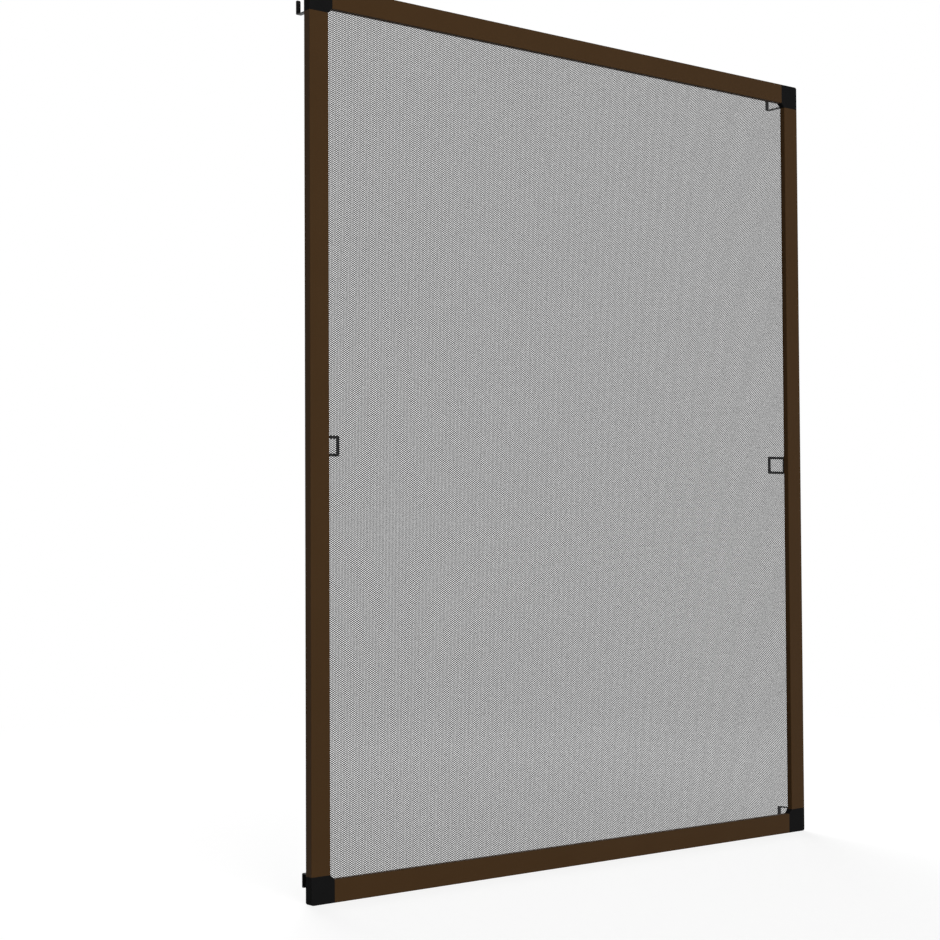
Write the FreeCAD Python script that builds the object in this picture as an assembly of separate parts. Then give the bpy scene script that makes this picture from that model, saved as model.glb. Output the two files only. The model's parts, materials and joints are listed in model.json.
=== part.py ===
import FreeCAD
import Part
import math
import os

from FreeCAD import Vector

# A clip-on insect screen for a window, in millimetres.
# X runs across the width, Y from the outdoor face to the indoor side, Z up.
# The origin is on the back of the bottom rail, at mid width: Y = 0 is the plane that lies on the window.

# Driving sizes of the frame
frame_width = 800.0
frame_height = 1000.0

# The extruded bar, whose section is given from its outer edge inwards and from its front face back
bar_face = 25.0
bar_depth = 11.0
bar_wall = 1.2
lip_thickness = 1.4
lip_height = 8.0
groove_width = 4.6
groove_floor_top = 3.4
groove_floor_wall = 1.0
overhang_reach = 0.8
overhang_thickness = 0.9
groove_rib_height = 0.3
groove_rib_top = 8.0
edge_radius = 0.8
back_edge_radius = 0.5
lip_edge_radius = 0.5

# The moulded corner block and its two legs
block_gusset = 5.5
block_corner_radius = 3.0
block_seam_chamfer = 0.3
leg_length = 34.0
leg_clearance = 0.15
leg_rib_count = 4
leg_rib_height = 0.45
leg_rib_width = 2.6
leg_wall = 1.8
leg_floor = 2.6
leg_tip_chamfer = 1.5

# The bent steel hooks, a long pair at the top and a short pair at the bottom
hook_width = 5.5
hook_thickness = 1.2
hook_centre_from_edge = 13.3
hook_tab_length = 16.5
hook_bend_radius = 1.0
hook_tip_radius = 1.5
top_hook_throat = 29.5
bottom_hook_throat = 21.2
top_shank_setback = 3.8
bottom_shank_setback = 0.1
hook_foot_length = 15.0
hook_foot_cover = 1.35
track_lip = 0.75
track_clearance = 0.15

# The grips that the screen is pulled home with
grip_height = 22.8
grip_bar = 3.2
grip_reach = 23.0
grip_standoff = 2.1
grip_wall_setback = 1.4
grip_corner_radius = 2.6
grip_inner_radius = 1.0
grip_edge_chamfer = 0.5
grip_foot_thickness = 1.5
grip_foot_gap = 0.1
grip_tongue_thickness = 0.8
grip_tongue_depth = 2.4
left_grip_from_bottom = 495.0
right_grip_from_bottom = 488.0

# The cord that wedges the net in its groove
spline_width = 4.1
spline_rib_count = 12
spline_rib_height = 0.22
spline_gap = 0.08

# The net: one wall with open cells, upright threads on its front and level threads on its back
net_wall = 0.3
net_gap = 0.05
net_cells_across = 10
net_cells_up = 12
net_band = 5.0
threads_per_cell = 2
thread_width = 1.0
thread_height = 0.35

# Places that follow from the driving sizes
block_reach = bar_face + block_gusset
top_shank_from_edge = block_reach - top_shank_setback
bottom_shank_from_edge = block_reach - bottom_shank_setback
groove_inner = bar_face - lip_thickness
groove_outer = groove_inner - groove_width
chamber_inner = groove_outer - bar_wall
chamber_back = bar_depth - bar_wall
back_wall_middle = groove_outer / 2
half_width = frame_width / 2
net_front = lip_height
net_back = lip_height + net_wall


def shell_point(across, depth, up):
    """A point given from the frame's outer left edge, front face and bottom edge."""
    return Vector(across - half_width, depth - bar_depth, up - back_wall_middle)


def near(value, target):
    """Whether two measures are the same place."""
    return abs(value - target) < 1e-6


def box(low, high):
    """A block between two corners given in the frame's own left, front and bottom measures."""
    size = [high[i] - low[i] for i in range(3)]
    return Part.makeBox(size[0], size[1], size[2], shell_point(*low))


def mirrored_across(shape):
    """The same piece on the other side of the frame's middle, left to right."""
    return shape.mirror(Vector(0, 0, 0), Vector(1, 0, 0))


def mirrored_up(shape):
    """The same piece at the other end of the frame's height, bottom to top."""
    middle = frame_height / 2 - back_wall_middle
    return shape.mirror(Vector(0, 0, middle), Vector(0, 0, 1))


def rounded_wire(corners, radii, make_point):
    """A closed outline through the corners, with an arc of its own radius at each one."""
    points = [make_point(*corner) for corner in corners]
    count = len(points)
    trims = []
    for i, corner in enumerate(points):
        before = (points[i - 1] - corner).normalize()
        after = (points[(i + 1) % count] - corner).normalize()
        half_turn = before.getAngle(after) / 2
        cut = radii[i] / math.tan(half_turn)
        middle = (before + after).normalize() * (radii[i] / math.sin(half_turn) - radii[i])
        trims.append((corner + before * cut, corner + middle, corner + after * cut))
    edges = []
    for i in range(count):
        arc_start, arc_middle, arc_end = trims[i]
        if radii[i] > 0:
            edges.append(Part.Arc(arc_start, arc_middle, arc_end).toShape())
        next_start = trims[(i + 1) % count][0]
        if (next_start - arc_end).Length > 1e-6:
            edges.append(Part.makeLine(arc_end, next_start))
    return Part.Wire(edges)


def bar_section(make_point):
    """The bar's section: a chamber for the corner legs and a groove that opens to the back."""
    rib_low = groove_rib_top - 2 * groove_rib_height
    outline = [
        (0, 0, edge_radius),
        (0, bar_depth, back_edge_radius),
        (groove_outer + overhang_reach, bar_depth, 0),
        (groove_outer + overhang_reach, bar_depth - overhang_thickness, 0),
        (groove_outer, bar_depth - overhang_thickness, 0),
        (groove_outer, groove_rib_top, 0),
        (groove_outer + groove_rib_height, groove_rib_top - groove_rib_height, 0),
        (groove_outer, rib_low, 0),
        (groove_outer, groove_floor_top, 0),
        (groove_inner, groove_floor_top, 0),
        (groove_inner, lip_height, lip_edge_radius),
        (bar_face, lip_height, lip_edge_radius),
        (bar_face, 0, edge_radius),
    ]
    under_floor = groove_floor_top - groove_floor_wall
    chamber = [
        (bar_wall, bar_wall),
        (bar_wall, chamber_back),
        (chamber_inner, chamber_back),
        (chamber_inner, under_floor),
        (bar_face - lip_thickness, under_floor),
        (bar_face - lip_thickness, bar_wall),
    ]
    outer = rounded_wire([p[:2] for p in outline], [p[2] for p in outline], make_point)
    inner = rounded_wire(chamber, [0] * len(chamber), make_point)
    return Part.Face(outer).cut(Part.Face(inner))


def make_stile():
    """The left upright, cut square between its two corner blocks."""
    section = bar_section(lambda u, d: shell_point(u, d, block_reach))
    return section.extrude(Vector(0, 0, frame_height - 2 * block_reach))


def make_rail():
    """The bottom rail, the same bar laid level between its two corner blocks."""
    section = bar_section(lambda u, d: shell_point(block_reach, d, u))
    return section.extrude(Vector(frame_width - 2 * block_reach, 0, 0))


def make_upright_leg():
    """The leg that a corner block pushes up into the stile, ribbed outside and cored from the back."""
    low_across = bar_wall + leg_clearance
    high_across = chamber_inner - leg_clearance
    low_depth = bar_wall + leg_clearance
    high_depth = chamber_back - leg_clearance
    start = block_reach
    end = block_reach + leg_length
    core = box((low_across + leg_rib_height, low_depth, start), (high_across - leg_rib_height, high_depth, end))
    tip_edges = [e for e in core.Edges if near(e.CenterOfMass.z, shell_point(0, 0, end).z)]
    leg = core.makeChamfer(leg_tip_chamfer, tip_edges)
    pitch = (leg_length - leg_tip_chamfer) / leg_rib_count
    for i in range(leg_rib_count):
        rib_start = start + pitch * (i + 0.5) - leg_rib_width / 2
        leg = leg.fuse(box((low_across, low_depth, rib_start), (high_across, high_depth, rib_start + leg_rib_width)))
    leg = leg.removeSplitter()
    for i in range(leg_rib_count):
        pocket_start = start + pitch * (i - 0.5) + leg_rib_width / 2
        pocket_end = start + pitch * (i + 0.5) - leg_rib_width / 2
        if i > 0:
            leg = leg.cut(box((low_across + leg_rib_height + leg_wall, low_depth + leg_floor, pocket_start),
                              (high_across - leg_rib_height - leg_wall, high_depth, pocket_end)))
    return leg


def swapped(shape):
    """The same shape with its across and up measures exchanged, for what runs along the rail."""
    return shape.mirror(shell_point(0, 0, 0), Vector(1, 0, -1))


def make_corner_block(shank_from_edge):
    """The bottom left block: flush with the bars, grooved like them, with a track for the hook's foot."""
    outline = [
        (0, 0, block_corner_radius),
        (0, block_reach, 0),
        (bar_face, block_reach, 0),
        (block_reach, bar_face, 0),
        (block_reach, 0, 0),
    ]
    wire = rounded_wire([p[:2] for p in outline], [p[2] for p in outline], lambda x, z: shell_point(x, 0, z))
    body = Part.Face(wire).extrude(Vector(0, bar_depth, 0))
    seam = shell_point(block_reach, 0, block_reach)
    front = [e for e in body.Edges if near(e.CenterOfMass.y, -bar_depth)]
    free = [e for e in front if not near(e.CenterOfMass.x, seam.x) and not near(e.CenterOfMass.z, seam.z)]
    body = body.makeFillet(edge_radius, free)
    joints = [e for e in body.Edges if near(e.CenterOfMass.y, -bar_depth)
              and (near(e.CenterOfMass.x, seam.x) or near(e.CenterOfMass.z, seam.z))]
    body = body.makeChamfer(block_seam_chamfer, joints)
    beyond = block_reach + 1
    rebate = box((groove_outer, lip_height, groove_outer), (beyond, bar_depth + 1, beyond))
    upright = box((groove_outer, groove_floor_top, groove_outer), (groove_inner, bar_depth + 1, beyond))
    level = box((groove_outer, groove_floor_top, groove_outer), (beyond, bar_depth + 1, groove_inner))
    body = body.cut(rebate.fuse([upright, level]))
    body = body.cut(hook_track(shank_from_edge))
    leg = make_upright_leg()
    return body.fuse([leg, swapped(leg)]).removeSplitter()


def hook_track(shank_from_edge):
    """The room for a hook's foot: a wide slot under two lips, and a full-width mouth at the shank."""
    half = hook_width / 2 + track_clearance
    left = hook_centre_from_edge - half
    right = hook_centre_from_edge + half
    foot_back = bar_depth - hook_foot_cover
    slot_front = foot_back - hook_thickness - track_clearance
    slot_back = foot_back + track_clearance
    slot_end = shank_from_edge - hook_foot_length - track_clearance
    mouth_start = shank_from_edge - hook_thickness - hook_bend_radius - track_clearance
    beyond = block_reach + 1
    slot = box((left, slot_front, slot_end), (right, slot_back, beyond))
    channel = box((left + track_lip, slot_front, slot_end), (right - track_lip, bar_depth + 1, beyond))
    mouth = box((left, slot_front, mouth_start), (right, bar_depth + 1, beyond))
    return slot.fuse([channel, mouth])


def make_hook(shank_from_edge, throat):
    """A hook at the bottom left: foot in the track, shank to the back, tab turned to the outer edge."""
    foot_back = bar_depth - hook_foot_cover
    foot_front = foot_back - hook_thickness
    tab_front = bar_depth + throat
    tab_back = tab_front + hook_thickness
    outer_bend = hook_bend_radius + hook_thickness
    low = shank_from_edge - hook_thickness
    strip = [
        (foot_front, shank_from_edge - hook_foot_length, 0),
        (foot_front, shank_from_edge, outer_bend),
        (tab_back, shank_from_edge, outer_bend),
        (tab_back, shank_from_edge - hook_tab_length, 0),
        (tab_front, shank_from_edge - hook_tab_length, 0),
        (tab_front, low, hook_bend_radius),
        (foot_back, low, hook_bend_radius),
        (foot_back, shank_from_edge - hook_foot_length, 0),
    ]
    side = hook_centre_from_edge - hook_width / 2
    wire = rounded_wire([p[:2] for p in strip], [p[2] for p in strip], lambda d, z: shell_point(side, d, z))
    hook = Part.Face(wire).extrude(Vector(hook_width, 0, 0))
    tip = shell_point(0, tab_front + hook_thickness / 2, shank_from_edge - hook_tab_length)
    corners = [e for e in hook.Edges if near(e.CenterOfMass.z, tip.z) and near(e.CenterOfMass.y, tip.y)]
    return hook.makeFillet(hook_tip_radius, corners)


def grip_tongue_side():
    """How far in from the edge the grip's tongue reaches, past the rib that holds it."""
    return groove_outer + groove_rib_height + grip_foot_gap + grip_tongue_thickness


def make_grip(from_bottom):
    """A grip on the left stile: a bent loop on a foot tucked under the overhang, its barb under the rib."""
    foot_front = net_back + grip_foot_gap
    foot_side = groove_outer + grip_foot_gap
    low = from_bottom - grip_height / 2
    high = from_bottom + grip_height / 2
    wall_side = bar_face - grip_wall_setback
    end = bar_face + grip_reach
    loop_front = bar_depth + grip_standoff
    loop_back = loop_front + grip_bar
    bend = [
        (wall_side - grip_bar, foot_front, 0),
        (wall_side - grip_bar, loop_back, grip_corner_radius),
        (end, loop_back, 0),
        (end, loop_front, 0),
        (wall_side, loop_front, grip_inner_radius),
        (wall_side, foot_front, 0),
    ]
    wire = rounded_wire([p[:2] for p in bend], [p[2] for p in bend], lambda u, d: shell_point(u, d, low))
    loop = Part.Face(wire).extrude(Vector(0, 0, grip_height))
    tip = shell_point(end, (loop_front + loop_back) / 2, low)
    corners = [e for e in loop.Edges if near(e.CenterOfMass.x, tip.x) and near(e.CenterOfMass.y, tip.y)]
    loop = loop.makeFillet(grip_corner_radius, corners)
    window = [(bar_face, low + grip_bar), (end - grip_bar, low + grip_bar),
              (end - grip_bar, high - grip_bar), (bar_face, high - grip_bar)]
    wire = rounded_wire(window, [grip_inner_radius] * len(window), lambda u, z: shell_point(u, bar_depth, z))
    loop = loop.cut(Part.Face(wire).extrude(Vector(0, loop_back, 0)))
    front_y = shell_point(0, loop_front, 0).y
    back_y = shell_point(0, loop_back, 0).y
    inner_x = shell_point(bar_face, 0, 0).x - grip_edge_chamfer
    rims = [e for e in loop.Edges if e.CenterOfMass.x > inner_x
            and (near(e.CenterOfMass.y, front_y) or near(e.CenterOfMass.y, back_y))]
    loop = loop.makeChamfer(grip_edge_chamfer, rims)
    foot = box((foot_side, foot_front, low), (bar_face, foot_front + grip_foot_thickness, high))
    tongue_tip = net_back - grip_tongue_depth
    tongue_low = low + grip_bar
    tongue_high = high - grip_bar
    tongue = box((grip_tongue_side() - grip_tongue_thickness, tongue_tip, tongue_low),
                 (grip_tongue_side(), foot_front, tongue_high))
    barb_back = groove_rib_top - 2 * groove_rib_height - grip_foot_gap
    barb = box((foot_side, tongue_tip, tongue_low), (grip_tongue_side(), barb_back, tongue_high))
    return loop.fuse([foot, tongue, barb]).removeSplitter()


def spline_section(centre, along, across_axis):
    """A ribbed round section on its centre, square to the way it runs."""
    points = []
    for i in range(2 * spline_rib_count):
        radius = spline_width / 2 - (spline_rib_height if i % 2 else 0)
        angle = math.pi * i / spline_rib_count
        points.append(centre + across_axis * (radius * math.cos(angle)) + Vector(0, radius * math.sin(angle), 0))
    return Part.Face(Part.makePolygon(points + [points[0]])).extrude(along)


def spline_centre():
    """How far in from the edge and how deep the cord lies, beside the net's edge and on its tuck."""
    inner_side = groove_inner - net_gap - net_wall - spline_gap
    depth = groove_floor_top + net_gap + net_wall + spline_gap + spline_width / 2
    return inner_side - spline_width / 2, depth


def make_upright_spline(from_bottom):
    """The cord in the left stile's groove, pressed flat where the grip's tongue passes it."""
    across, depth = spline_centre()
    start = groove_outer + spline_gap
    length = frame_height - 2 * start
    cord = spline_section(shell_point(across, depth, start), Vector(0, 0, length), Vector(1, 0, 0))
    tongue_side = grip_tongue_side() + spline_gap
    tongue_tip = net_back - grip_tongue_depth - spline_gap
    half = grip_height / 2 - grip_bar + spline_gap
    dent = box((groove_outer, tongue_tip, from_bottom - half), (tongue_side, bar_depth, from_bottom + half))
    return cord.cut(dent)


def make_level_spline():
    """The cord in the bottom rail's groove, between the two upright ones."""
    across, depth = spline_centre()
    start = groove_inner - net_gap - net_wall
    length = frame_width - 2 * start
    return spline_section(shell_point(start, depth, across), Vector(length, 0, 0), Vector(0, 0, 1))


def ring_wall(outer, inner, front, back):
    """A rectangular wall round the frame between two distances in from its edges."""
    whole = box((outer, front, outer), (frame_width - outer, back, frame_height - outer))
    hole = box((inner, front, inner), (frame_width - inner, back, frame_height - inner))
    return whole.cut(hole)


def make_net():
    """The net: its wall lies on the lips, its edges turn down into the groove and under the cord."""
    edge = groove_inner - net_gap - net_wall
    low = (edge, net_front, edge)
    high = (frame_width - edge, net_back, frame_height - edge)
    wall = box(low, high)
    cell_across = (frame_width - 2 * bar_face) / net_cells_across
    cell_up = (frame_height - 2 * bar_face) / net_cells_up
    gaps = []
    for i in range(net_cells_across):
        for j in range(net_cells_up):
            left = bar_face + cell_across * i + net_band / 2
            bottom = bar_face + cell_up * j + net_band / 2
            gaps.append(box((left, net_front, bottom),
                            (left + cell_across - net_band, net_back, bottom + cell_up - net_band)))
    wall = wall.cut(Part.makeCompound(gaps))
    thread_start = bar_face + thread_width
    threads = []
    for i in range(1, net_cells_across * threads_per_cell):
        centre = bar_face + cell_across * i / threads_per_cell
        threads.append(box((centre - thread_width / 2, net_front - thread_height, thread_start),
                           (centre + thread_width / 2, net_front, frame_height - thread_start)))
    for i in range(1, net_cells_up * threads_per_cell):
        centre = bar_face + cell_up * i / threads_per_cell
        threads.append(box((thread_start, net_back, centre - thread_width / 2),
                           (frame_width - thread_start, net_back + thread_height, centre + thread_width / 2)))
    floor_front = groove_floor_top + net_gap
    tuck = ring_wall(edge, edge + net_wall, floor_front, net_front)
    under = ring_wall(groove_outer + spline_gap, edge + net_wall, floor_front, floor_front + net_wall)
    return wall.fuse(threads + [tuck, under]).removeSplitter()


def build_parts():
    """Every piece of the screen by its name."""
    stile = make_stile()
    rail = make_rail()
    bottom_block = make_corner_block(bottom_shank_from_edge)
    top_block = mirrored_up(make_corner_block(top_shank_from_edge))
    bottom_hook = make_hook(bottom_shank_from_edge, bottom_hook_throat)
    top_hook = mirrored_up(make_hook(top_shank_from_edge, top_hook_throat))
    bottom_spline = make_level_spline()
    return {
        "left_stile": stile,
        "right_stile": mirrored_across(stile),
        "bottom_rail": rail,
        "top_rail": mirrored_up(rail),
        "bottom_left_corner": bottom_block,
        "bottom_right_corner": mirrored_across(bottom_block),
        "top_left_corner": top_block,
        "top_right_corner": mirrored_across(top_block),
        "bottom_left_hook": bottom_hook,
        "bottom_right_hook": mirrored_across(bottom_hook),
        "top_left_hook": top_hook,
        "top_right_hook": mirrored_across(top_hook),
        "left_handle": make_grip(left_grip_from_bottom),
        "right_handle": mirrored_across(make_grip(right_grip_from_bottom)),
        "left_spline": make_upright_spline(left_grip_from_bottom),
        "right_spline": mirrored_across(make_upright_spline(right_grip_from_bottom)),
        "bottom_spline": bottom_spline,
        "top_spline": mirrored_up(bottom_spline),
        "insect_mesh": make_net(),
    }


os.makedirs("parts", exist_ok=True)
for name, shape in build_parts().items():
    shape.exportStep("parts/" + name + ".step")
    print(name, len(shape.Solids), "solid", round(shape.Volume, 1), "mm3", "valid", shape.isValid())
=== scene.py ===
import json
import math

import bpy
from mathutils import Matrix, Vector

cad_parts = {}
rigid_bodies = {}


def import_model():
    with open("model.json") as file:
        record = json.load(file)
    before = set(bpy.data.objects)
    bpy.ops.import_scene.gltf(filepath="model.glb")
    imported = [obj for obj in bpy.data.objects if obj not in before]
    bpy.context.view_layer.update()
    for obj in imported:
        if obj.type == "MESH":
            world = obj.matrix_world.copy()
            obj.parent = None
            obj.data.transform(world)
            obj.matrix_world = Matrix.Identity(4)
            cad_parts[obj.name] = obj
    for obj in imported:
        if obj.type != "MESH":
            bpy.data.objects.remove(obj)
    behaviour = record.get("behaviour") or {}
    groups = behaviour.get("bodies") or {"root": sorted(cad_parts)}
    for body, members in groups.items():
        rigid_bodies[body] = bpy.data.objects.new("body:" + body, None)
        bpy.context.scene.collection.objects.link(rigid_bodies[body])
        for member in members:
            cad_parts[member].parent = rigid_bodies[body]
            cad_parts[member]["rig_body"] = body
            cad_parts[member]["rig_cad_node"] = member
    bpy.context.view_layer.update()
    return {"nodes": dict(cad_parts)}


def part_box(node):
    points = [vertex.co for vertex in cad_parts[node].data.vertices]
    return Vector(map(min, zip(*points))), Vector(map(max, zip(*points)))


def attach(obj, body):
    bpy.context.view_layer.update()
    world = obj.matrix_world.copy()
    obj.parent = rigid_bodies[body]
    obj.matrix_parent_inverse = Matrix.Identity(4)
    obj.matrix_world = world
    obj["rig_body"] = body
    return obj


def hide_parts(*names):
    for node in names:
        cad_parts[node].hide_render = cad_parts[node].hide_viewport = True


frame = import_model()
nodes = frame["nodes"]
print("frame loaded with", len(nodes), "nodes")

mm = 0.001


# camera
cameraSettings = {
    "place": (-1.5825, -1.7119, 0.3860),  # metres, from the fit of the frame's straight edges
    "yaw": 39.567,                        # degrees to the right of straight ahead
    "pitch": 1.975,
    "roll": -0.294,
    "lens": 73.33,
    "sensor": 36.0,
}


def makeCamera(settings):
    yaw, pitch, roll = (math.radians(settings[k]) for k in ("yaw", "pitch", "roll"))
    ahead = math.cos(pitch)
    forward = Vector((math.sin(yaw) * ahead, math.cos(yaw) * ahead, math.sin(pitch)))
    level = Vector((math.cos(yaw), -math.sin(yaw), 0))
    lift = level.cross(forward)
    right = level * math.cos(roll) + lift * math.sin(roll)
    up = lift * math.cos(roll) - level * math.sin(roll)
    data = bpy.data.cameras.new("camera")
    data.lens = settings["lens"]
    data.sensor_width = settings["sensor"]
    data.clip_start = 0.01
    camera = bpy.data.objects.new("camera", data)
    bpy.context.scene.collection.objects.link(camera)
    turn = Matrix((right, up, -forward)).transposed().to_4x4()
    camera.matrix_world = Matrix.Translation(settings["place"]) @ turn
    bpy.context.scene.camera = camera


makeCamera(cameraSettings)


# helpers for nodes
def newGroup(name, inputs, outputs):
    group = bpy.data.node_groups.new(name, "ShaderNodeTree")
    for label, kind, value in inputs:
        socket = group.interface.new_socket(name=label, in_out="INPUT", socket_type=kind)
        if value is not None:
            socket.default_value = value
    for label, kind in outputs:
        group.interface.new_socket(name=label, in_out="OUTPUT", socket_type=kind)
    return group, group.nodes.new("NodeGroupInput"), group.nodes.new("NodeGroupOutput")


def newMaterial(name):
    material = bpy.data.materials.new(name)
    material.use_nodes = True
    tree = material.node_tree
    return material, tree, tree.nodes["Principled BSDF"]


def addNode(tree, kind, **values):
    node = tree.nodes.new(kind)
    for key, value in values.items():
        if hasattr(node, key):
            setattr(node, key, value)
        else:
            node.inputs[key].default_value = value
    return node


def mixColour(tree, blend, factor, first, second):
    node = tree.nodes.new("ShaderNodeMix")
    node.data_type = "RGBA"
    node.blend_type = blend
    for index, value in ((0, factor), (6, first), (7, second)):
        if isinstance(value, bpy.types.NodeSocket):
            tree.links.new(value, node.inputs[index])
        else:
            node.inputs[index].default_value = value
    return node.outputs[2]


# shared effects
grainSettings = {
    "cellSmooth": 0.6,
    "cellShare": 0.6,     # of the cells in the height, beside the noise
}
edgeSettings = {
    "flat": 1.0,          # how far the rounded and the true normal agree on a flat
    "rubbed": 0.85,       # and where an edge counts as fully rubbed
    "patchScale": 220.0,  # the noise that breaks the rubbed edge up
}


def makeGrainGroup(settings):
    # fine bumps of a sprayed or moulded skin, with slow changes of shade over them
    group, start, end = newGroup("fineGrain", [
        ("Fine Scale", "NodeSocketFloat", 2500.0),
        ("Slow Scale", "NodeSocketFloat", 30.0),
    ], [("Height", "NodeSocketFloat"), ("Fine", "NodeSocketFloat"), ("Slow", "NodeSocketFloat")])
    links = group.links
    place = group.nodes.new("ShaderNodeTexCoord")
    fine = addNode(group, "ShaderNodeTexNoise", Detail=3.0, Roughness=0.55)
    cells = addNode(group, "ShaderNodeTexVoronoi", feature="SMOOTH_F1", Smoothness=settings["cellSmooth"])
    slow = addNode(group, "ShaderNodeTexNoise", Detail=4.0, Roughness=0.6)
    for node, scale in ((fine, "Fine Scale"), (cells, "Fine Scale"), (slow, "Slow Scale")):
        links.new(place.outputs["Object"], node.inputs["Vector"])
        links.new(start.outputs[scale], node.inputs["Scale"])
    both = addNode(group, "ShaderNodeMath", operation="MULTIPLY_ADD")
    both.inputs[1].default_value = settings["cellShare"]
    links.new(cells.outputs["Distance"], both.inputs[0])
    links.new(fine.outputs["Fac"], both.inputs[2])
    links.new(both.outputs[0], end.inputs["Height"])
    links.new(fine.outputs["Fac"], end.inputs["Fine"])
    links.new(slow.outputs["Fac"], end.inputs["Slow"])
    return group


def makeEdgeGroup(settings):
    # a mask that is 1 on rubbed edges and 0 on flats, broken up by noise
    group, start, end = newGroup("rubbedEdge", [
        ("Width", "NodeSocketFloat", 0.0006),
        ("Amount", "NodeSocketFloat", 0.5),
    ], [("Mask", "NodeSocketFloat")])
    links = group.links
    rounded = addNode(group, "ShaderNodeBevel", samples=4)
    links.new(start.outputs["Width"], rounded.inputs["Radius"])
    flat = group.nodes.new("ShaderNodeNewGeometry")
    turn = addNode(group, "ShaderNodeVectorMath", operation="DOT_PRODUCT")
    links.new(rounded.outputs["Normal"], turn.inputs[0])
    links.new(flat.outputs["Normal"], turn.inputs[1])
    edge = addNode(group, "ShaderNodeMapRange")
    edge.inputs["From Min"].default_value = settings["flat"]
    edge.inputs["From Max"].default_value = settings["rubbed"]
    links.new(turn.outputs["Value"], edge.inputs["Value"])
    place = group.nodes.new("ShaderNodeTexCoord")
    patch = addNode(group, "ShaderNodeTexNoise", Scale=settings["patchScale"], Detail=5.0, Roughness=0.7)
    links.new(place.outputs["Object"], patch.inputs["Vector"])
    broken = addNode(group, "ShaderNodeMath", operation="MULTIPLY")
    links.new(edge.outputs["Result"], broken.inputs[0])
    links.new(patch.outputs["Fac"], broken.inputs[1])
    amount = addNode(group, "ShaderNodeMath", operation="MULTIPLY")
    links.new(broken.outputs[0], amount.inputs[0])
    links.new(start.outputs["Amount"], amount.inputs[1])
    links.new(amount.outputs[0], end.inputs["Mask"])
    return group


grainGroup = makeGrainGroup(grainSettings)
edgeGroup = makeEdgeGroup(edgeSettings)
print("shared effects made")


# finishes
roughSpread = 0.06        # how far the gloss wanders either way
speckRange = (0.62, 0.8)  # of the fine noise, where the specks come in


def coatedFinish(name, settings):
    # a sprayed or moulded skin: two shades, a fine grain in the bump and the gloss, and rubbed edges
    material, tree, shader = newMaterial(name)
    links = tree.links
    grain = addNode(tree, "ShaderNodeGroup", node_tree=grainGroup)
    grain.inputs["Fine Scale"].default_value = settings["fineScale"]
    grain.inputs["Slow Scale"].default_value = settings["slowScale"]
    edge = addNode(tree, "ShaderNodeGroup", node_tree=edgeGroup)
    edge.inputs["Width"].default_value = settings["edgeWidth"]
    edge.inputs["Amount"].default_value = settings["edgeAmount"]
    body = mixColour(tree, "MIX", grain.outputs["Slow"], (*settings["dark"], 1), (*settings["light"], 1))
    speck = addNode(tree, "ShaderNodeMapRange")
    for key, value in zip(("From Min", "From Max", "To Max"), (*speckRange, settings["speck"])):
        speck.inputs[key].default_value = value
    links.new(grain.outputs["Fine"], speck.inputs["Value"])
    body = mixColour(tree, "MIX", speck.outputs["Result"], body, (*settings["worn"], 1))
    body = mixColour(tree, "MIX", edge.outputs["Mask"], body, (*settings["worn"], 1))
    links.new(body, shader.inputs["Base Color"])
    rough = addNode(tree, "ShaderNodeMapRange")
    rough.inputs["To Min"].default_value = settings["roughness"] - roughSpread
    rough.inputs["To Max"].default_value = settings["roughness"] + roughSpread
    links.new(grain.outputs["Fine"], rough.inputs["Value"])
    links.new(rough.outputs["Result"], shader.inputs["Roughness"])
    bump = addNode(tree, "ShaderNodeBump", Strength=settings["bump"], Distance=settings["bumpDepth"])
    links.new(grain.outputs["Height"], bump.inputs["Height"])
    links.new(bump.outputs["Normal"], shader.inputs["Normal"])
    shader.inputs["Specular IOR Level"].default_value = settings["specular"]
    return material


brownCoat = {
    "dark": (0.0438, 0.0226, 0.0088),
    "light": (0.0494, 0.0260, 0.0105),
    "worn": (0.066, 0.038, 0.018),
    "fineScale": 1900.0, "slowScale": 22.0,
    "speck": 0.25, "edgeWidth": 0.0007, "edgeAmount": 0.35,
    "roughness": 0.5, "bump": 0.25, "bumpDepth": 0.00006, "specular": 0.045,
}
blackMoulding = {
    "dark": (0.0062, 0.0062, 0.0062),
    "light": (0.0083, 0.0082, 0.0082),
    "worn": (0.016, 0.016, 0.017),
    "fineScale": 2600.0, "slowScale": 60.0,
    "speck": 0.2, "edgeWidth": 0.0006, "edgeAmount": 0.5,
    "roughness": 0.55, "bump": 0.3, "bumpDepth": 0.00005, "specular": 0.010,
}
blackGrip = {
    "dark": (0.0040, 0.0040, 0.0041),
    "light": (0.0062, 0.0062, 0.0064),
    "worn": (0.020, 0.020, 0.021),
    "fineScale": 2200.0, "slowScale": 80.0,
    "speck": 0.2, "edgeWidth": 0.0005, "edgeAmount": 0.5,
    "roughness": 0.42, "bump": 0.2, "bumpDepth": 0.00004, "specular": 0.10,
}
blackSteel = {
    "dark": (0.0090, 0.0090, 0.0094),
    "light": (0.0140, 0.0140, 0.0146),
    "worn": (0.040, 0.039, 0.038),
    "fineScale": 1500.0, "slowScale": 140.0,
    "speck": 0.3, "edgeWidth": 0.0004, "edgeAmount": 0.8,
    "roughness": 0.36, "bump": 0.15, "bumpDepth": 0.00004, "specular": 0.2,
}
cordRubber = {
    "dark": (0.0120, 0.0120, 0.0122),
    "light": (0.0180, 0.0180, 0.0182),
    "worn": (0.040, 0.040, 0.041),
    "fineScale": 1200.0, "slowScale": 40.0,
    "speck": 0.15, "edgeWidth": 0.0003, "edgeAmount": 0.3,
    "roughness": 0.7, "bump": 0.35, "bumpDepth": 0.00006, "specular": 0.3,
}

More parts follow.
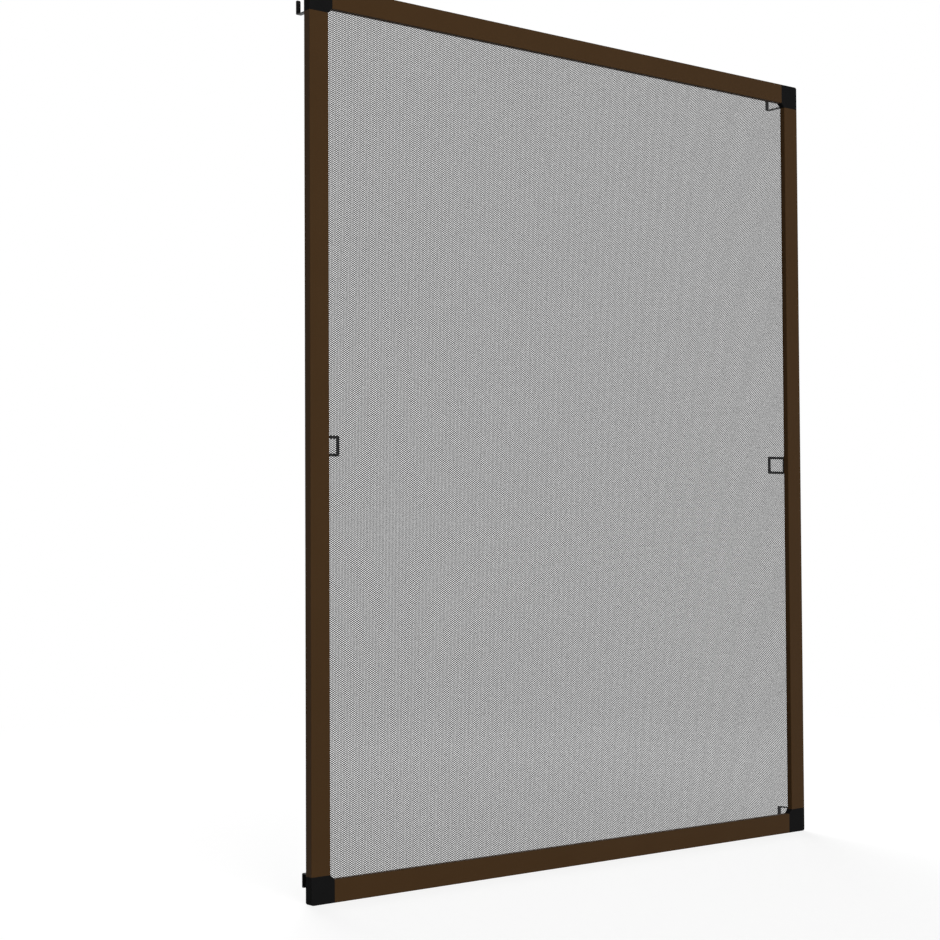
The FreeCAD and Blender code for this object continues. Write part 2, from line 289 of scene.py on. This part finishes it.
finishes = {
    "brown": coatedFinish("brownPowderCoat", brownCoat),
    "moulding": coatedFinish("blackMoulding", blackMoulding),
    "grip": coatedFinish("blackGrip", blackGrip),
    "steel": coatedFinish("blackSteel", blackSteel),
    "cord": coatedFinish("cordRubber", cordRubber),
}


def finishFor(name):
    for word, finish in (("corner", "moulding"), ("hook", "steel"), ("handle", "grip"), ("spline", "cord")):
        if word in name:
            return finishes[finish]
    return finishes["brown"]


for name, node in nodes.items():
    node.data.materials.clear()
    node.data.materials.append(finishFor(name))
print("finishes assigned")


# helpers for shapes
def clearSelection():
    if bpy.context.object and bpy.context.object.mode != "OBJECT":
        bpy.ops.object.mode_set(mode="OBJECT")
    bpy.ops.object.select_all(action="DESELECT")


def selectOnly(piece):
    clearSelection()
    piece.select_set(True)
    bpy.context.view_layer.objects.active = piece


# the grips: each loop stays open over the groove, where two posts carry it on the foot
gripSettings = {
    "names": {"left_handle": "left_grip", "right_handle": "right_grip"},
    "merge": 0.002 * mm,
    "flat": 0.5,               # degrees, under which neighbouring faces become one
    "bar": 3.2 * mm,           # height of the loop's arms and of the posts
    "openFrom": 374.0 * mm,    # from mid width, inside the loop's window
    "openTo": 380.2 * mm,      # past the posts
    "footBack": -1.08 * mm,    # just behind the foot
    "clear": 0.02 * mm,        # between the cut and the arms
    "past": 1.0 * mm,          # how far the cut goes on behind the loop
    "smooth": 35,              # degrees
}


def openGrip(node, name, settings):
    # a copy of the CAD grip, with its wall cut through between the posts
    low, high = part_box(node)
    side = math.copysign(1, low[0])
    selectOnly(nodes[node])
    bpy.ops.object.duplicate()
    grip = bpy.context.object
    grip.name = name
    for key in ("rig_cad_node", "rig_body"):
        del grip[key]
    bpy.ops.object.mode_set(mode="EDIT")
    bpy.ops.mesh.select_all(action="SELECT")
    bpy.ops.mesh.remove_doubles(threshold=settings["merge"])
    bpy.ops.mesh.dissolve_limited(angle_limit=math.radians(settings["flat"]))
    clearSelection()
    near, far = (side * settings[key] for key in ("openFrom", "openTo"))
    front, back = settings["footBack"], high[1] + settings["past"]
    bottom = low[2] + settings["bar"] + settings["clear"]
    top = high[2] - settings["bar"] - settings["clear"]
    centre = ((near + far) / 2, (front + back) / 2, (bottom + top) / 2)
    bpy.ops.mesh.primitive_cube_add(size=1, location=centre,
                                    scale=(abs(far - near), back - front, top - bottom))
    cutter = bpy.context.object
    opening = grip.modifiers.new("opening", "BOOLEAN")
    opening.operation = "DIFFERENCE"
    opening.solver = "EXACT"
    opening.object = cutter
    selectOnly(grip)
    bpy.ops.object.modifier_apply(modifier=opening.name)
    bpy.ops.object.shade_smooth_by_angle(angle=math.radians(settings["smooth"]))
    bpy.data.objects.remove(cutter)
    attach(grip, "root")
    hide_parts(node)
    return grip


for node, name in gripSettings["names"].items():
    grip = openGrip(node, name, gripSettings)
    print(name, "made:", len(grip.data.polygons), "faces")


# the net
netSettings = {
    "slopes": (29.0, -29.0),   # degrees that each set of threads climbs across the frame
    "spacing": 1.956 * mm,     # between neighbours of one set
    "threadWide": 0.80 * mm,
    "threadThick": 0.28 * mm,  # from front to back
    "joint": 50 * mm,          # one modelled length of thread
    "depths": (-2.82 * mm, -2.78 * mm),  # nearly in one plane, so that the threads join where they cross
    "edge": 23.4 * mm,         # the fold down into the groove, from the frame's outer edges
    "foldRadius": 0.2 * mm,
    "foot": -7.2 * mm,         # where a thread ends, under the cord
    "width": 800 * mm,
    "height": 1000 * mm,
    "middle": 490.5 * mm,      # height of the frame's middle
    "merge": 0.01 * mm,
    "onLine": 0.02 * mm,       # how near a cut end lies to its side
    "facing": 0.95,            # and how squarely it faces that side
    "smooth": 70,              # degrees
}
threadCoat = {
    "dark": (0.018, 0.018, 0.0185),
    "light": (0.028, 0.028, 0.0285),
    "fineScale": 3200.0, "slowScale": 9.0,
    "twistScale": 700.0, "twistWander": 0.4,
    "roughness": 0.55, "bump": 0.4, "bumpDepth": 0.00004, "specular": 0.1,
}


def addArray(piece, count, offset, merge):
    array = piece.modifiers.new("rows", "ARRAY")
    array.count = count
    array.use_relative_offset = False
    array.use_constant_offset = True
    array.constant_offset_displace = offset
    array.use_merge_vertices = offset[0] > 0
    array.merge_threshold = merge
    bpy.ops.object.modifier_apply(modifier=array.name)


def makeThreads(settings, slope, depth):
    # one short length of thread, copied along itself and side by side, then turned and cut to the opening
    halfWide = settings["width"] / 2 - settings["edge"]
    halfHigh = settings["height"] / 2 - settings["edge"]
    reach = 2 * math.hypot(halfWide, halfHigh)
    clearSelection()
    bpy.ops.mesh.primitive_circle_add(vertices=4, radius=0.5, location=(0, 0, 0),
                                      rotation=(0, math.radians(90), 0))
    threads = bpy.context.object
    bpy.ops.object.transform_apply(location=False, rotation=True, scale=False)
    bpy.ops.object.mode_set(mode="EDIT")
    bpy.ops.mesh.select_mode(type="VERT")
    bpy.ops.mesh.select_all(action="SELECT")
    bpy.ops.transform.resize(value=(1, settings["threadThick"], settings["threadWide"]))
    bpy.ops.mesh.extrude_region_move(TRANSFORM_OT_translate={"value": (settings["joint"], 0, 0)})
    bpy.ops.object.mode_set(mode="OBJECT")
    along = math.ceil(reach / settings["joint"])
    across = math.ceil(reach / settings["spacing"])
    addArray(threads, along, (settings["joint"], 0, 0), settings["merge"])
    addArray(threads, across, (0, 0, settings["spacing"]), settings["merge"])
    bpy.ops.object.mode_set(mode="EDIT")
    bpy.ops.mesh.select_all(action="SELECT")
    start = (-along * settings["joint"] / 2, 0, -across * settings["spacing"] / 2)
    bpy.ops.transform.translate(value=start)
    bpy.ops.transform.rotate(value=math.radians(slope), orient_axis="Y", center_override=(0, 0, 0))
    bpy.ops.transform.translate(value=(0, depth, settings["middle"]))
    sides = [(Vector((x, 0, z)), (x * halfWide, settings["middle"] + z * halfHigh))
             for x, z in ((-1, 0), (1, 0), (0, -1), (0, 1))]
    for side, border in sides:
        bpy.ops.mesh.select_all(action="SELECT")
        bpy.ops.mesh.bisect(plane_co=(border[0], 0, border[1]), plane_no=side,
                            use_fill=True, clear_outer=True)
    for side, border in sides:
        foldEnds(threads, settings, depth, side, border)
    bpy.ops.mesh.select_all(action="SELECT")
    bpy.ops.mesh.normals_make_consistent(inside=False)
    bpy.ops.object.mode_set(mode="OBJECT")
    return threads


def foldEnds(threads, settings, depth, side, border):
    # the cut ends along one side are turned into the groove and drawn out to its floor
    bpy.ops.mesh.select_all(action="DESELECT")
    bpy.ops.mesh.select_mode(type="FACE")
    bpy.ops.object.mode_set(mode="OBJECT")
    line = side.dot((border[0], 0, border[1]))
    for face in threads.data.polygons:
        near = abs(face.center.dot(side) - line) < settings["onLine"]
        face.select = near and abs(face.normal.dot(side)) > settings["facing"]
    bpy.ops.object.mode_set(mode="EDIT")
    radius = settings["foldRadius"]
    turn = math.radians(90) * (side.x if side.x else -side.z)
    bpy.ops.mesh.extrude_region()
    bpy.ops.transform.rotate(value=turn, orient_axis="Z" if side.x else "X",
                             center_override=(border[0], depth - radius, border[1]))
    drop = settings["foot"] - depth + radius
    bpy.ops.mesh.extrude_region_move(TRANSFORM_OT_translate={"value": (0, drop, 0)})


def makeNet(settings):
    places = zip(settings["slopes"], settings["depths"])
    sets = [makeThreads(settings, slope, depth) for slope, depth in places]
    selectOnly(sets[0])
    for threads in sets[1:]:
        threads.select_set(True)
    bpy.ops.object.join()
    net = bpy.context.object
    net.name = "net"
    bpy.ops.object.shade_smooth_by_angle(angle=math.radians(settings["smooth"]))
    return net


def threadFinish(settings):
    # coated threads: a twist along them in the bump, with small changes of shade
    material, tree, shader = newMaterial("greyNet")
    links = tree.links
    grain = addNode(tree, "ShaderNodeGroup", node_tree=grainGroup)
    grain.inputs["Fine Scale"].default_value = settings["fineScale"]
    grain.inputs["Slow Scale"].default_value = settings["slowScale"]
    colour = mixColour(tree, "MIX", grain.outputs["Slow"], (*settings["dark"], 1), (*settings["light"], 1))
    links.new(colour, shader.inputs["Base Color"])
    shader.inputs["Roughness"].default_value = settings["roughness"]
    shader.inputs["Specular IOR Level"].default_value = settings["specular"]
    place = tree.nodes.new("ShaderNodeTexCoord")
    twist = addNode(tree, "ShaderNodeTexWave", wave_type="BANDS", bands_direction="DIAGONAL",
                    Scale=settings["twistScale"], Distortion=settings["twistWander"])
    links.new(place.outputs["Object"], twist.inputs["Vector"])
    bump = addNode(tree, "ShaderNodeBump", Strength=settings["bump"], Distance=settings["bumpDepth"])
    links.new(twist.outputs["Fac"], bump.inputs["Height"])
    links.new(bump.outputs["Normal"], shader.inputs["Normal"])
    return material


net = makeNet(netSettings)
net.data.materials.append(threadFinish(threadCoat))
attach(net, "root")
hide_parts("insect_mesh")
print("net made:", len(net.data.polygons), "faces")


# stage
stageSettings = {
    "floor": -9.5 * mm,
    "size": 14.0,
    "colour": 0.30,
    "lift": 0.83,          # for the camera and reflections alone, so that the floor reads as white
    "plainFrom": 1.0,      # metres from the middle, past which the floor is plain white
    "plainTo": 2.0,
}


def makeFloor(settings):
    clearSelection()
    bpy.ops.mesh.primitive_plane_add(size=settings["size"], location=(0, 0, settings["floor"]))
    floor = bpy.context.object
    floor.name = "floor"
    material = bpy.data.materials.new("paleFloor")
    material.use_nodes = True
    tree = material.node_tree
    tree.nodes.remove(tree.nodes["Principled BSDF"])
    links = tree.links
    end = tree.nodes["Material Output"]
    matt = addNode(tree, "ShaderNodeBsdfDiffuse")
    matt.inputs["Color"].default_value = (settings["colour"],) * 3 + (1,)
    rays = tree.nodes.new("ShaderNodeLightPath")
    lift = tree.nodes.new("ShaderNodeEmission")
    seen = addNode(tree, "ShaderNodeMath", operation="MAXIMUM")
    links.new(rays.outputs["Is Camera Ray"], seen.inputs[0])
    links.new(rays.outputs["Is Glossy Ray"], seen.inputs[1])
    amount = addNode(tree, "ShaderNodeMath", operation="MULTIPLY")
    amount.inputs[1].default_value = settings["lift"]
    links.new(seen.outputs[0], amount.inputs[0])
    links.new(amount.outputs[0], lift.inputs["Strength"])
    near = tree.nodes.new("ShaderNodeAddShader")
    links.new(matt.outputs[0], near.inputs[0])
    links.new(lift.outputs[0], near.inputs[1])
    plain = addNode(tree, "ShaderNodeEmission", Strength=1.0)
    place = tree.nodes.new("ShaderNodeTexCoord")
    far = addNode(tree, "ShaderNodeVectorMath", operation="LENGTH")
    links.new(place.outputs["Object"], far.inputs[0])
    fade = addNode(tree, "ShaderNodeMapRange", interpolation_type="SMOOTHSTEP")
    fade.inputs["From Min"].default_value = settings["plainFrom"]
    fade.inputs["From Max"].default_value = settings["plainTo"]
    links.new(far.outputs["Value"], fade.inputs["Value"])
    only = addNode(tree, "ShaderNodeMath", operation="MULTIPLY")
    links.new(fade.outputs["Result"], only.inputs[0])
    links.new(seen.outputs[0], only.inputs[1])
    both = tree.nodes.new("ShaderNodeMixShader")
    links.new(only.outputs[0], both.inputs[0])
    links.new(near.outputs[0], both.inputs[1])
    links.new(plain.outputs[0], both.inputs[2])
    links.new(both.outputs[0], end.inputs["Surface"])
    floor.data.materials.append(material)


makeFloor(stageSettings)


# light
worldLight = 0.04          # on the object; the view and reflections get 1, which is white
lampAim = Vector((0, 0, 0.45))
lamps = [
    {"name": "keyLamp", "place": (-1.8, -5.3, 1.1), "size": 3.0, "power": 357.0},
    {"name": "backLamp", "place": (2.4, 4.8, 3.2), "size": 3.6, "power": 320.0},
]


def makeWorld(level):
    world = bpy.data.worlds.new("world")
    bpy.context.scene.world = world
    world.use_nodes = True
    tree = world.node_tree
    background = tree.nodes["Background"]
    rays = tree.nodes.new("ShaderNodeLightPath")
    seen = addNode(tree, "ShaderNodeMath", operation="MAXIMUM")
    tree.links.new(rays.outputs["Is Camera Ray"], seen.inputs[0])
    tree.links.new(rays.outputs["Is Glossy Ray"], seen.inputs[1])
    strength = addNode(tree, "ShaderNodeMapRange")
    strength.inputs["To Min"].default_value = level
    strength.inputs["To Max"].default_value = 1.0
    tree.links.new(seen.outputs[0], strength.inputs["Value"])
    tree.links.new(strength.outputs["Result"], background.inputs["Strength"])
    background.inputs["Color"].default_value = (1, 1, 1, 1)


def makeLamp(settings):
    data = bpy.data.lights.new(settings["name"], "AREA")
    data.shape = "DISK"
    data.size = settings["size"]
    data.energy = settings["power"]
    lamp = bpy.data.objects.new(settings["name"], data)
    bpy.context.scene.collection.objects.link(lamp)
    place = Vector(settings["place"])
    turn = (lampAim - place).to_track_quat("-Z", "Y").to_matrix().to_4x4()
    lamp.matrix_world = Matrix.Translation(place) @ turn
    lamp.visible_glossy = False


makeWorld(worldLight)
for lampSettings in lamps:
    makeLamp(lampSettings)
bpy.context.scene.view_settings.view_transform = "Standard"
print("stage and light made")
